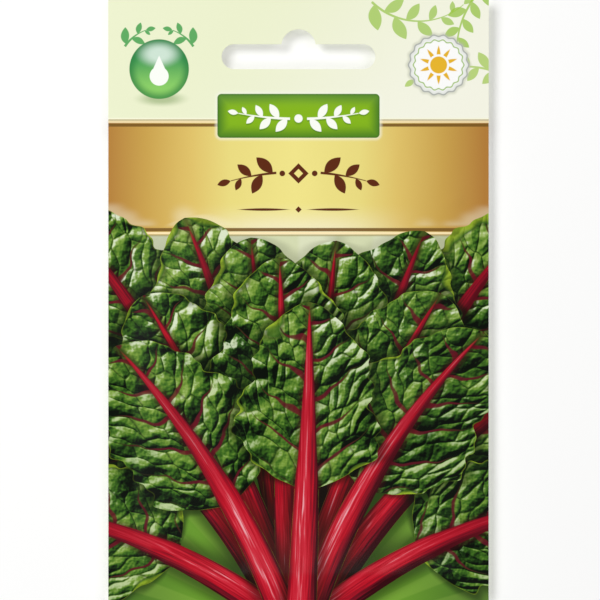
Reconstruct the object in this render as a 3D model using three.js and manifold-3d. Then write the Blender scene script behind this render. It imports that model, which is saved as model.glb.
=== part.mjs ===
// A garden seed packet: a flat paper sachet with a hang slot, filled with loose seed clusters.
// Two paper sheets lie face to face and swell apart over the seeds. A thin seal film joins them round all four
// edges and over the whole header.
// The packet lies on its back: +X is its width, +Y runs up to the header, and +Z comes out of its front.
// Millimetres. The origin is on the surface it lies on, under the middle of its outline.
import * as THREE from "three";
import { mergeVertices } from "three/addons/utils/BufferGeometryUtils.js";
import Module from "manifold-3d";

const wasm = await Module();
wasm.setup();

// Driving dimensions
const WIDTH = 101; // across the packet
const HEIGHT = 160; // bottom edge to top edge
const PAPER = 0.15; // one coated paper sheet
const SIDE_SEAL = 6.5; // sealed margin at each side
const BOTTOM_SEAL = 7; // sealed margin at the bottom
const HEADER = 33; // sealed height at the top, which carries the hang slot
const FILM = 0.12; // seal film between the sheets
const FILM_CLEARANCE = 0.02; // film to paper, on each face
const BACK_DROP = 3; // the sealed margin's underside stands this far above the resting surface
const BACK_FULL = 4.2; // how far the filled back would swell if nothing pressed it flat
const FRONT_RISE = 2.9; // how far the filled front swells
const PLATEAU = { start: 0.27, end: 0.5 }; // fullest stretch, as shares of the pocket's height
const FOOT_SWELL = 2.2; // how steeply the pocket swells from its bottom seal
const SIDE_SWELL = 2.4; // how steeply it swells from its side seals

// Hang slot: a rounded bar with a round peg seat in the middle of its upper side
const SLOT_WIDTH = 40.8;
const SLOT_HEIGHT = 6.6;
const SLOT_BELOW_TOP = 15.4; // packet's top edge to the bar's middle line
const PEG_SEAT_RADIUS = 4.6;
const PEG_SEAT_BELOW_TOP = 12.75; // packet's top edge to the peg seat's centre
const SLOT_STEPS = 8; // straight pieces in each quarter circle

// Seed clusters, strewn in one loose layer
const SEED_RADIUS = 2.6;
const SEED_PITCH = 4.5;
const SEED_PATCH = { x: 27, y: 26, centreY: -27 }; // half axes and middle of the oval that they cover
const SEED_LIFT = 0.1; // lowest seed to the back sheet
const SEED_SCATTER = 0.5; // how far a seed strays from its place, across its whole range
const SEED_FLATNESS = 0.78; // a seed's height to its width
const SEED_KNOBS = { least: 0.94, range: 0.2 }; // a seed's corners, as shares of its radius
const SEED_DRAW = 4; // start of the random numbers that shape and strew the seeds

const TOP = HEIGHT / 2;
const SIDE = WIDTH / 2;
const FILL_SIDE = SIDE - SIDE_SEAL;
const FILL_BOTTOM = -TOP + BOTTOM_SEAL;
const FILL_TOP = TOP - HEADER;
const BACK_INSIDE = BACK_DROP + PAPER; // the back sheet's inner face at the margin
const FRONT_INSIDE = BACK_INSIDE + FILM + 2 * FILM_CLEARANCE; // the front sheet's inner face at the margin

// How full the packet is at (x, y): 0 on the sealed margin, 1 over the plateau
function fullness(x, y) {
  const across = Math.abs(x) / FILL_SIDE;
  const along = (y - FILL_BOTTOM) / (FILL_TOP - FILL_BOTTOM);
  if (across >= 1 || along <= 0 || along >= 1) return 0;
  const { start, end } = PLATEAU;
  let lengthwise = 1;
  if (along < start) lengthwise = 1 - (1 - along / start) ** FOOT_SWELL;
  if (along > end) lengthwise = (1 + Math.cos((Math.PI * (along - end)) / (1 - end))) / 2;
  return (1 - across ** SIDE_SWELL) * lengthwise;
}

const backOutside = (x, y) => BACK_DROP - Math.min(BACK_DROP, BACK_FULL * fullness(x, y));
const frontInside = (x, y) => FRONT_INSIDE + FRONT_RISE * fullness(x, y);

// Grid lines, close together where the paper curves most
const halfColumns = [0, 9, 18, 26, 32, 37, 41, FILL_SIDE, SIDE];
const columns = [...halfColumns.slice(1).reverse().map((x) => -x), ...halfColumns];
const rows = [-TOP, FILL_BOTTOM, -69, -64, -58, -50, -40, -28, -14, -4, 6, 15, 24, 33, 41, FILL_TOP, TOP];

// A closed solid of a merged geometry
function solidOf(geometry) {
  const bare = geometry.clone();
  bare.deleteAttribute("normal");
  bare.deleteAttribute("uv");
  const merged = mergeVertices(bare, 1e-4);
  return new wasm.Manifold(
    new wasm.Mesh({
      numProp: 3,
      vertProperties: new Float32Array(merged.attributes.position.array),
      triVerts: new Uint32Array(merged.index.array),
    }),
  );
}

function geometryOf(solid) {
  const mesh = solid.getMesh();
  const geometry = new THREE.BufferGeometry();
  geometry.setAttribute("position", new THREE.BufferAttribute(mesh.vertProperties, 3));
  geometry.setIndex(new THREE.BufferAttribute(mesh.triVerts, 1));
  geometry.computeVertexNormals();
  return geometry;
}

// One sheet: a grid of points on its lower face, the same grid one paper thickness up, and walls round it
function sheetGeometry(lowerFace) {
  const points = [];
  for (const lift of [0, PAPER])
    for (const y of rows) for (const x of columns) points.push(x, y, lowerFace(x, y) + lift);
  const layer = rows.length * columns.length;
  const at = (row, column, upper) => upper * layer + row * columns.length + column;
  const faces = [];
  const quad = (a, b, c, d) => faces.push(a, b, c, a, c, d);
  const lastRow = rows.length - 1;
  const lastColumn = columns.length - 1;
  for (let r = 0; r < lastRow; r++)
    for (let c = 0; c < lastColumn; c++) {
      quad(at(r, c, 1), at(r, c + 1, 1), at(r + 1, c + 1, 1), at(r + 1, c, 1));
      quad(at(r, c, 0), at(r + 1, c, 0), at(r + 1, c + 1, 0), at(r, c + 1, 0));
    }
  for (let c = 0; c < lastColumn; c++) {
    quad(at(0, c, 0), at(0, c + 1, 0), at(0, c + 1, 1), at(0, c, 1));
    quad(at(lastRow, c + 1, 0), at(lastRow, c, 0), at(lastRow, c, 1), at(lastRow, c + 1, 1));
  }
  for (let r = 0; r < lastRow; r++) {
    quad(at(r + 1, 0, 0), at(r, 0, 0), at(r, 0, 1), at(r + 1, 0, 1));
    quad(at(r, lastColumn, 0), at(r + 1, lastColumn, 0), at(r + 1, lastColumn, 1), at(r, lastColumn, 1));
  }
  const geometry = new THREE.BufferGeometry();
  geometry.setAttribute("position", new THREE.Float32BufferAttribute(points, 3));
  geometry.setIndex(faces);
  return geometry;
}

function extruded(shape, bottom, depth, curveSegments = SLOT_STEPS) {
  const geometry = new THREE.ExtrudeGeometry(shape, { depth, bevelEnabled: false, curveSegments });
  return geometry.translate(0, 0, bottom);
}

// A cutter for the hang slot, tall enough for every layer
function hangSlot() {
  const end = SLOT_HEIGHT / 2;
  const barY = TOP - SLOT_BELOW_TOP;
  const reach = SLOT_WIDTH / 2 - end;
  const bar = new THREE.Shape();
  bar.moveTo(-reach, barY - end);
  bar.lineTo(reach, barY - end);
  bar.absarc(reach, barY, end, -Math.PI / 2, Math.PI / 2);
  bar.lineTo(-reach, barY + end);
  bar.absarc(-reach, barY, end, Math.PI / 2, (3 * Math.PI) / 2);
  const seat = new THREE.Shape();
  seat.absarc(0, TOP - PEG_SEAT_BELOW_TOP, PEG_SEAT_RADIUS, 0, 2 * Math.PI);
  const bottom = BACK_DROP / 2;
  const depth = BACK_DROP * 2;
  return solidOf(extruded(bar, bottom, depth)).add(solidOf(extruded(seat, bottom, depth, 4 * SLOT_STEPS)));
}

// The seal film: the packet's outline less the filled pocket
function sealFilm() {
  const outline = new THREE.Shape();
  outline.moveTo(-SIDE, -TOP);
  outline.lineTo(SIDE, -TOP);
  outline.lineTo(SIDE, TOP);
  outline.lineTo(-SIDE, TOP);
  const pocket = new THREE.Path();
  pocket.moveTo(-FILL_SIDE, FILL_BOTTOM);
  pocket.lineTo(-FILL_SIDE, FILL_TOP);
  pocket.lineTo(FILL_SIDE, FILL_TOP);
  pocket.lineTo(FILL_SIDE, FILL_BOTTOM);
  outline.holes.push(pocket);
  return solidOf(extruded(outline, BACK_INSIDE + FILM_CLEARANCE, FILM));
}

// Numbers from 0 to 1 by the usual linear congruential rule, the same on every run
function randomFrom(start) {
  const multiplier = 1664525;
  const increment = 1013904223;
  let state = start;
  return () => {
    state = (Math.imul(state, multiplier) + increment) >>> 0;
    return state / 2 ** 32;
  };
}

// One seed cluster: a knobbly corky ball, a little flattened
function seedCluster(random) {
  const ball = new THREE.IcosahedronGeometry(SEED_RADIUS, 0);
  ball.deleteAttribute("normal");
  ball.deleteAttribute("uv");
  const geometry = mergeVertices(ball);
  const position = geometry.attributes.position;
  const point = new THREE.Vector3();
  for (let i = 0; i < position.count; i++) {
    point.fromBufferAttribute(position, i).multiplyScalar(SEED_KNOBS.least + SEED_KNOBS.range * random());
    position.setXYZ(i, point.x, point.y, point.z * SEED_FLATNESS);
  }
  return geometry.rotateZ(2 * Math.PI * random());
}

// The strewn layer, on a staggered grid with a little scatter, joined where neighbours press together
function seedLayer() {
  const random = randomFrom(SEED_DRAW);
  const scatter = () => SEED_SCATTER * (random() - 0.5);
  const clusters = [];
  const rowPitch = SEED_PITCH * Math.sin(Math.PI / 3);
  const rowCount = Math.ceil(SEED_PATCH.y / rowPitch);
  const columnCount = Math.ceil(SEED_PATCH.x / SEED_PITCH);
  for (let r = -rowCount; r <= rowCount; r++)
    for (let c = -columnCount; c <= columnCount; c++) {
      const x = (c + (r % 2 ? 0.5 : 0)) * SEED_PITCH;
      const y = r * rowPitch;
      if (Math.hypot(x / SEED_PATCH.x, y / SEED_PATCH.y) > 1) continue;
      const cluster = seedCluster(random);
      const px = x + scatter();
      const py = y + SEED_PATCH.centreY + scatter();
      cluster.translate(px, py, 0);
      cluster.computeBoundingBox();
      const floor = backOutside(px, py) + PAPER + SEED_LIFT;
      cluster.translate(0, 0, floor - cluster.boundingBox.min.z + SEED_SCATTER * random());
      clusters.push(solidOf(cluster));
    }
  return wasm.Manifold.union(clusters);
}

const paper = new THREE.MeshStandardMaterial({ color: 0x5c8a2c, roughness: 0.35, metalness: 0 });
const plainPaper = new THREE.MeshStandardMaterial({ color: 0xeef2dc, roughness: 0.45, metalness: 0 });
const film = new THREE.MeshStandardMaterial({ color: 0xf4f3ea, roughness: 0.3, metalness: 0 });
const seed = new THREE.MeshStandardMaterial({ color: 0x8a6a44, roughness: 0.9, metalness: 0 });

const packet = new THREE.Group();
function addPiece(name, solid, material) {
  const mesh = new THREE.Mesh(geometryOf(solid), material);
  mesh.name = name;
  packet.add(mesh);
}

const slot = hangSlot();
addPiece("front_sheet", solidOf(sheetGeometry(frontInside)).subtract(slot), paper);
addPiece("back_sheet", solidOf(sheetGeometry(backOutside)).subtract(slot), plainPaper);
addPiece("seal_film", sealFilm().subtract(slot), film);
addPiece("seed_clusters", seedLayer(), seed);

export default packet;
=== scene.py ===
"""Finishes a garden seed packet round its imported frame: printed paper, seal, seeds, floor, lights and camera.

The packet lies on its back, printed front up. Lengths that describe the packet are in millimetres, in the
frame's own axes, with the origin under the middle of its outline: x runs across it, y up to the hang slot,
and z out of its front.
"""

import math
import random
from functools import partialmethod

import bpy
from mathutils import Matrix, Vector, noise


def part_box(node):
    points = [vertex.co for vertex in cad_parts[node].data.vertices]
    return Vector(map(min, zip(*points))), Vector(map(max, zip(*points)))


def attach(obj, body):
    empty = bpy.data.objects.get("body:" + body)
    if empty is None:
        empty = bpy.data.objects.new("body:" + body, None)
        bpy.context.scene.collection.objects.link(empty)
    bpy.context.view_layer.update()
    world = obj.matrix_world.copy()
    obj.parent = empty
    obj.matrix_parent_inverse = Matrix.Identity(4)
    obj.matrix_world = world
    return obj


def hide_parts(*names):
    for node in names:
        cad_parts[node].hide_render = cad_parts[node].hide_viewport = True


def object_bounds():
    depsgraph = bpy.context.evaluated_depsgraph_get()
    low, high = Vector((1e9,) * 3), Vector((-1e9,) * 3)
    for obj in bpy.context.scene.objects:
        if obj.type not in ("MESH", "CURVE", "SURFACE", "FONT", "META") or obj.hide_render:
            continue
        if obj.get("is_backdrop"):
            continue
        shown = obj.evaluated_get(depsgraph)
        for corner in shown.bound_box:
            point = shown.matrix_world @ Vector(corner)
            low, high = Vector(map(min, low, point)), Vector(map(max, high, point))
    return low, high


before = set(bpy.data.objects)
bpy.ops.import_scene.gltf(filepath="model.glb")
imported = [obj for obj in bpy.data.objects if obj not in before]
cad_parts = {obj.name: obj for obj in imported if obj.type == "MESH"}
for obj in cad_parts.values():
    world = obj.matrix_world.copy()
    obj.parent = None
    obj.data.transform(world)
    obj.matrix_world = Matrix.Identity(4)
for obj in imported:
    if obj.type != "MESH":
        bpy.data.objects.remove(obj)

bl_info = {
    "name": "Seed Packet",
    "version": (1, 0, 0),
    "blender": (4, 5, 0),
    "location": "View3D > Sidebar > Seed Packet",
    "description": "Builds the paper sheets, print, seal and seeds of a garden seed packet",
    "category": "Object",
}

MM = 0.001
CAD_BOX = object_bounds()

# The packet's outline and the levels of its layers, from the frame
FRONT_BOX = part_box("front_sheet")
FILM_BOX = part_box("seal_film")
SIDE = FRONT_BOX[1].x / MM
TOP = FRONT_BOX[1].y / MM
FRONT_MARGIN = FRONT_BOX[0].z / MM
BACK_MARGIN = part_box("back_sheet")[1].z / MM

# The filled pocket
PAPER = 0.15
SIDE_SEAL = 6.5
BOTTOM_SEAL = 7.0
HEADER = 33.0
BACK_FULL = 4.2
FRONT_RISE = 2.9
FILL_SIDE = SIDE - SIDE_SEAL
FILL_BOTTOM = BOTTOM_SEAL - TOP
FILL_TOP = TOP - HEADER
# Where along the pocket it is fullest, as shares of its length, and how its swelling falls off
PLATEAU = (0.27, 0.5)
FOOT_SWELL = 2.2
SIDE_SWELL = 2.4

# What the paper does as it dries and is handled
CURL_START = FILL_TOP - 8
CURL_SKEW = 0.2
RIPPLE = 0.3
RIPPLE_LENGTHS = (21, 26)
LUMP_DRAW = 5
LUMP_SHARE = 0.4
LUMP_RADIUS = (1.9, 2.6)
LUMP_HEIGHT = (0.5, 1)
# The puckers' length and half width, and their height as a share of the most. Each is a number, or the least
# and the most that it may be
PUCKER_DRAW = 11
SIDE_PUCKER = ((7, 13), (1.3, 2.2), (0.3, 0.9))
CORNER_PUCKER = ((15, 22), (1.8, 2.6), (0.8, 1.2))
FOOT_PUCKER = ((7, 11), (1.4, 2.0), 0.6)
HEADER_PUCKER = ((15, 26), (2.2, 3.4), 0.5)
BACK_PUCKERS = 0.6
# Where they stand, and how far they lean, in radians
SIDE_ENDS = (16, 18)
SIDE_STEP = (10, 19)
SIDE_TILT = 0.35
CORNER_TILTS = (0.55, 0.95)
FOOT_PLACE = (14, 26)
HEADER_PLACES = (-31, -12, 9, 27)
HEADER_TILT = 0.3

# The hang slot
SLOT_WIDTH = 40.8
SLOT_HEIGHT = 6.6
SLOT_Y = TOP - 15.4
SEAT_RADIUS = 4.6
SEAT_Y = TOP - 12.75
PUNCH_SIDES = 64
PUNCH_DEPTH = 30

# The seed layer, on the same staggered grid and with the same draws as the construction
SEED_RADIUS = 2.6
SEED_PITCH = 4.5
SEED_PATCH = (27.0, 26.0)
SEED_CENTRE_Y = -27.0
SEED_LIFT = 0.1
SEED_SCATTER = 0.5
SEED_FLATNESS = 0.78
SEED_KNOBS = (0.94, 0.2)
KNOB_SHARPNESS = 6
# A seed cluster's own size, and its finer bumps: their height and how close they are
HUSK_SIZE = 0.94
HUSK_BUMPS = ((0.12, 1.7), (0.1, 3.9))
SEED_DRAW = 4
DRAW_FACTOR = 1664525
DRAW_STEP = 1013904223
DRAW_RANGE = 2**32
GOLDEN = (1 + math.sqrt(5)) / 2
# An icosahedron's corners, in the order in which the construction draws their sizes
HUSK_CORNERS = [
    Vector(corner).normalized()
    for corner in (
        (-1, GOLDEN, 0), (-GOLDEN, 0, 1), (0, 1, GOLDEN), (1, GOLDEN, 0), (0, 1, -GOLDEN), (-GOLDEN, 0, -1),
        (GOLDEN, 0, 1), (0, -1, GOLDEN), (-1, -GOLDEN, 0), (0, -1, -GOLDEN), (GOLDEN, 0, -1), (1, -GOLDEN, 0),
    )
]
# The dents of a seed cluster: their directions, how wide they are, as a cosine, and the size they leave
DENTS = ((0.8, 0.5, 0.3), (-0.7, 0.6, 0.2), (0.1, -0.9, 0.4), (-0.3, 0.2, -0.9))
DENT_REACH = 0.86
DENT_SIZE = 0.86

FILM_CELL = 2.0
PRINT_SPECULAR = 0.12
# How strong a bump is, and its height
GRAIN_BUMP = (0.35, 0.02 * MM)
HUSK_BUMP = (0.8, 0.25 * MM)
PAPER_CREASE = math.radians(35)
HUSK_CREASE = math.radians(50)

# The printed zones, with heights measured up from the packet's middle
BAND_TOP = 47.6
BAND_BOTTOM = 17.3
LABEL_Y = 48.9
LABEL_SIZE = (43.1, 11.7)
ORNAMENT_Y = 33.6
RULE_Y = 24.0
BUTTON_PLACE = (-37.0, 61.3)
BUTTON_RADIUS = 7.9
MEDALLION_PLACE = (37.2, 62.4)
MEDALLION_RADIUS = 8.0

# The printed leaves. Their outlines give a half width, as a share of the most: the blade's from its joint to
# its tip, and the stalk's and rib's from a blade's length before the joint to the tip
BLADE_OUTLINE = (
    (0, 0),
    (0.03, 0.26),
    (0.1, 0.64),
    (0.24, 0.96),
    (0.42, 1),
    (0.66, 0.84),
    (0.86, 0.54),
    (0.96, 0.28),
    (1, 0),
)
STALK_TAPER = ((0, 1), (0.5, 0.76), (0.6, 0.59), (0.75, 0.39), (0.92, 0.14), (1, 0.02))
LEAF_DRAW = 21
RUFFLE = 1.4
SHADE_REACH = 5.5
RELIEF_STEP = 0.5
BUNCH_Y = -90.0
VEIN_PITCH = 9.6
PRINT_LIGHT = Vector((-0.6, 0.8, 0))
# The back's picture: its middle, its size and the foot of its leaves
PICTURE_PLACE = (-27.0, 12.5)
PICTURE_SIZE = (38.0, 34.0)
PICTURE_FOOT = (-27, -20)

# The stage, in metres
FLOOR_SIZE = 3.0
FLOOR_ROUGHNESS = 0.9
LAMP_AWAY = 0.7
LAMP_HEIGHT = 0.85
LAMP_SIZE = 0.55
LAMPS = {"key": -45, "right": 60, "foot": 165, "left": -120}
SKY = 0.12
SENSOR = 36
# The share of the packet's height that the view takes in, and how far to its right the view's middle is
VIEW_SHARE = 0.996
VIEW_ASIDE = 1.5 / 600


def ink(code):
    """The linear colour of an sRGB code such as #88B31C."""
    parts = [int(code[i : i + 2], 16) / 255 for i in (1, 3, 5)]
    return tuple(p / 12.92 if p <= 0.04045 else ((p + 0.055) / 1.055) ** 2.4 for p in parts)


def colour_of(name, code, description):
    """A colour that a user may change."""
    return bpy.props.FloatVectorProperty(
        name=name, description=description, subtype="COLOR", size=3, min=0, max=1, default=ink(code)
    )


def share_of(name, default, description):
    """A share that a user may change, from 0 to 1."""
    return bpy.props.FloatProperty(
        name=name, description=description, subtype="FACTOR", min=0, max=1, default=default
    )


def millimetres_of(name, default, least, most, description):
    """A length that a user may change."""
    return bpy.props.FloatProperty(
        name=name, description=description + ", in millimetres", default=default, min=least, max=most
    )


class PacketPaper(bpy.types.PropertyGroup):
    """The sheets' own shape and finish."""

    cell: millimetres_of("Cell", 0.8, 0.4, 4, "Grid size of the sheets")
    lump: millimetres_of("Seed lumps", 0.16, 0, 1, "How far a seed shows through")
    pucker: millimetres_of("Puckers", 0.2, 0, 1, "Height of the puckers along the seal")
    curl: millimetres_of("Header curl", 0.8, 0, 2, "How far the top edge lifts")
    roughness: share_of("Roughness", 0.33, "Roughness of the coated paper")
    core: colour_of("Cut edge", "#F2F1EA", "Colour of the paper's cut edge and inner face")


class PacketPrint(bpy.types.PropertyGroup):
    """The inks of the front and the back."""

    header: colour_of("Header", "#ECF1CE", "Ground of the header")
    header_far: colour_of("Header, far side", "#F6F6E6", "Ground of the header at its right")
    gold: colour_of("Gold", "#F1E58A", "Middle of the gold band")
    gold_edge: colour_of("Gold edge", "#B37D3A", "Sides of the gold band")
    rule: colour_of("Rule", "#7A5824", "Lines along the gold band")
    brown: colour_of("Ornament", "#5E2A12", "Ornament on the gold band")
    label: colour_of("Label", "#85B61C", "Middle of the green label")
    label_edge: colour_of("Label edge", "#4A7F22", "Edge of the green label")
    leaf_deep: colour_of("Leaf, deep", "#050C04", "Deepest shade among the leaves")
    leaf_dark: colour_of("Leaf, dark", "#1A3610", "Hollows of the leaves")
    leaf: colour_of("Leaf", "#3F6B1F", "Leaves")
    leaf_light: colour_of("Leaf, light", "#779A3A", "Raised parts of the leaves")
    leaf_pale: colour_of("Leaf, pale", "#A9BF70", "Lit shoulders of the leaves")
    gloss: colour_of("Leaf gloss", "#E2EBD2", "Brightest gloss of the leaves")
    rim: colour_of("Leaf rim", "#9CB82C", "Edge of the leaves")
    vein: colour_of("Side veins", "#5C1422", "Side veins near the rib")
    stalk_deep: colour_of("Stalk, deep", "#34060E", "Deepest shade of the stalks")
    stalk_dark: colour_of("Stalk, dark", "#7A0E20", "Shaded side of the stalks")
    stalk: colour_of("Stalk", "#BC1024", "Stalks and ribs")
    stalk_light: colour_of("Stalk, light", "#D42E40", "Lit side of the stalks")
    stalk_gloss: colour_of("Stalk gloss", "#EFA6AE", "Brightest gloss of the stalks")
    ground: colour_of("Ground", "#74A832", "Green behind the stalks")
    ground_dark: colour_of("Ground, dark", "#3E6126", "Green in the lower corners")


class PacketSeeds(bpy.types.PropertyGroup):
    """The loose seed clusters."""

    husk: colour_of("Husk", "#9A7A4E", "Corky husk of the seed clusters")
    husk_dark: colour_of("Husk, dark", "#5A4025", "Pits of the husk")


class PacketStage(bpy.types.PropertyGroup):
    """Floor, lights and camera."""

    floor: colour_of("Floor", "#E0E0DF", "Colour of the floor")
    glow: share_of("Floor glow", 0.25, "Light that the lit table gives off")
    lamp: bpy.props.FloatProperty(
        name="Lamps", description="Power of each side lamp", subtype="POWER", default=2.385, min=0
    )
    key: bpy.props.FloatProperty(
        name="Key lamp", description="The key lamp's power, as a multiple", default=3.0, min=0
    )
    lens: bpy.props.FloatProperty(
        name="Lens",
        description="Focal length of the camera",
        subtype="DISTANCE_CAMERA",
        default=200.0,
        min=20,
    )


def settings():
    """The scene's own settings for the packet."""
    return bpy.context.scene.seed_packet


class PacketSettings(bpy.types.PropertyGroup):
    """All the packet's settings."""

    paper: bpy.props.PointerProperty(type=PacketPaper)
    print: bpy.props.PointerProperty(type=PacketPrint)
    seeds: bpy.props.PointerProperty(type=PacketSeeds)
    stage: bpy.props.PointerProperty(type=PacketStage)


# ---------------------------------------------------------------- shapes


def clear_selection():
    if bpy.context.object and bpy.context.object.mode != "OBJECT":
        bpy.ops.object.mode_set(mode="OBJECT")
    bpy.ops.object.select_all(action="DESELECT")


def select_only(piece):
    clear_selection()
    piece.select_set(True)
    bpy.context.view_layer.objects.active = piece


def apply_place(piece):
    """Moves the piece's place, turn and size into its mesh."""
    select_only(piece)
    bpy.ops.object.transform_apply(location=True, rotation=True, scale=True)


def apply_modifier(piece, kind, **values):
    """Adds a modifier with these values and applies it."""
    select_only(piece)
    modifier = piece.modifiers.new(kind.title(), kind)
    for name, value in values.items():
        setattr(modifier, name, value)
    bpy.ops.object.modifier_apply(modifier=modifier.name)


def edit_vertices(piece, wanted):
    """Opens the piece in edit mode with only the vertices at the wanted places selected."""
    select_only(piece)
    bpy.ops.object.mode_set(mode="EDIT")
    bpy.ops.mesh.select_mode(type="VERT")
    bpy.ops.mesh.select_all(action="DESELECT")
    bpy.ops.object.mode_set(mode="OBJECT")
    for vertex in piece.data.vertices:
        vertex.select = wanted(vertex.co)
    bpy.ops.object.mode_set(mode="EDIT")


def edit_faces(piece, wanted):
    """Opens the piece in edit mode with only the faces whose centres are wanted selected."""
    edit_vertices(piece, lambda co: False)
    bpy.ops.mesh.select_mode(type="FACE")
    bpy.ops.object.mode_set(mode="OBJECT")
    for polygon in piece.data.polygons:
        polygon.select = wanted(polygon.center)
    bpy.ops.object.mode_set(mode="EDIT")


def bump_profile(t):
    """1 at t = 0, falling smoothly to 0 at t = 1."""
    return (1 - t * t) ** 2 if abs(t) < 1 else 0.0


def fullness(x, y):
    """How full the packet is: 0 on the sealed margin, 1 over the plateau."""
    across = abs(x) / FILL_SIDE
    along = (y - FILL_BOTTOM) / (FILL_TOP - FILL_BOTTOM)
    if across >= 1 or along <= 0 or along >= 1:
        return 0.0
    start, end = PLATEAU
    lengthwise = 1.0
    if along < start:
        lengthwise = 1 - (1 - along / start) ** FOOT_SWELL
    if along > end:
        lengthwise = (1 + math.cos(math.pi * (along - end) / (1 - end))) / 2
    return (1 - across**SIDE_SWELL) * lengthwise


def back_outside(x, y):
    """The level of the back's outer face, as constructed."""
    level = BACK_MARGIN - PAPER
    return level - min(level, BACK_FULL * fullness(x, y))


def header_curl(x, y):
    """The lift of the header's free end, more at one corner than at the other."""
    along = max(0.0, (y - CURL_START) / (TOP - CURL_START))
    return settings().paper.curl * along**2 * (1 - CURL_SKEW + CURL_SKEW * x / SIDE)


def draws(state):
    """The construction's own random numbers, from 0 to 1."""
    while True:
        state = (state * DRAW_FACTOR + DRAW_STEP) % DRAW_RANGE
        yield state / DRAW_RANGE


def seed_places():
    """Each seed cluster as its place on the packet, its lift, its turn and the sizes of its corners."""
    numbers = draws(SEED_DRAW)
    least, spread = SEED_KNOBS
    row_pitch = SEED_PITCH * math.sin(math.pi / 3)
    row_count = math.ceil(SEED_PATCH[1] / row_pitch)
    column_count = math.ceil(SEED_PATCH[0] / SEED_PITCH)
    for row in range(-row_count, row_count + 1):
        for column in range(-column_count, column_count + 1):
            x = (column + (0.5 if row % 2 else 0)) * SEED_PITCH
            y = row * row_pitch
            if math.hypot(x / SEED_PATCH[0], y / SEED_PATCH[1]) > 1:
                continue
            corners = [least + spread * next(numbers) for _ in HUSK_CORNERS]
            turn = 2 * math.pi * next(numbers)
            px = x + SEED_SCATTER * (next(numbers) - 0.5)
            py = y + SEED_CENTRE_Y + SEED_SCATTER * (next(numbers) - 0.5)
            yield px, py, SEED_SCATTER * next(numbers), turn, corners


def puckers():
    """The short ridges where the swelling paper gathers at the seal.

    Each is its foot, its direction, its length, its half width and its height. Those along the sides come
    first, then those at the lower corners and the foot, and then the long ones that run down from the header.
    """
    rule = random.Random(PUCKER_DRAW)
    made = []

    def add(foot, heading, sizes):
        drawn = [rule.uniform(*size) if isinstance(size, tuple) else size for size in sizes]
        made.append((foot, heading, *drawn))

    for side in (-1, 1):
        y = FILL_BOTTOM + SIDE_ENDS[0]
        while y < FILL_TOP - SIDE_ENDS[1]:
            tilt = rule.uniform(-SIDE_TILT, SIDE_TILT)
            foot = (side * (FILL_SIDE + 0.6), y)
            add(foot, (-side * math.cos(tilt), math.sin(tilt)), SIDE_PUCKER)
            y += rule.uniform(*SIDE_STEP)
    for side in (-1, 1):
        for tilt in CORNER_TILTS:
            foot = (side * (FILL_SIDE - 1), FILL_BOTTOM + 1)
            add(foot, (-side * math.cos(tilt), math.sin(tilt)), CORNER_PUCKER)
        foot = (side * rule.uniform(*FOOT_PLACE), FILL_BOTTOM - 0.6)
        add(foot, (0.1 * side, 1.0), FOOT_PUCKER)
    for x in HEADER_PLACES:
        foot = (x + rule.uniform(-3, 3), FILL_TOP - rule.uniform(4, 9))
        tilt = rule.uniform(-HEADER_TILT, HEADER_TILT)
        add(foot, (math.sin(tilt), -math.cos(tilt)), HEADER_PUCKER)
    return made


def pucker_height(x, y, ridges):
    """How high the ridges stand at a place, as a share of the most."""
    total = 0.0
    for (fx, fy), (hx, hy), length, half_width, height in ridges:
        dx, dy = x - fx, y - fy
        along = (dx * hx + dy * hy) / length
        if not 0 < along < 1:
            continue
        across = abs(dx * hy - dy * hx) / (half_width * (1 + along))
        if across < 1:
            total += height * (1 - across) ** 2 * (1 + 2 * across) * math.sin(math.pi * along**0.7) ** 2
    return total


def front_relief():
    """A function of (x, y): the front's outer face, with its lumps and puckers."""
    paper = settings().paper
    rule = random.Random(LUMP_DRAW)
    lumps = [
        (x, y, rule.uniform(*LUMP_RADIUS), rule.uniform(*LUMP_HEIGHT))
        for x, y, *_ in seed_places()
        if rule.random() < LUMP_SHARE
    ]
    ridges = puckers()
    level = FRONT_MARGIN + PAPER

    def height(x, y):
        full = fullness(x, y)
        raised = FRONT_RISE * full
        raised += paper.lump * sum(
            h * bump_profile(math.hypot(x - sx, y - sy) / r) for sx, sy, r, h in lumps if abs(y - sy) < r
        )
        raised += paper.pucker * pucker_height(x, y, ridges)
        raised += RIPPLE * full * noise.noise(Vector((x / RIPPLE_LENGTHS[0], y / RIPPLE_LENGTHS[1], 0.3)))
        return level + raised + header_curl(x, y)

    return height


def back_relief():
    """A function of (x, y): the back's outer face, pressed flat where it lies."""
    paper = settings().paper
    ridges = puckers()

    def height(x, y):
        # Where the back lies on the table it has no puckers
        gathered = pucker_height(x, y, ridges) * min(1.0, back_outside(x, y))
        level = back_outside(x, y) - BACK_PUCKERS * paper.pucker * gathered
        return max(0.0, level) + header_curl(x, y)

    return height


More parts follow.
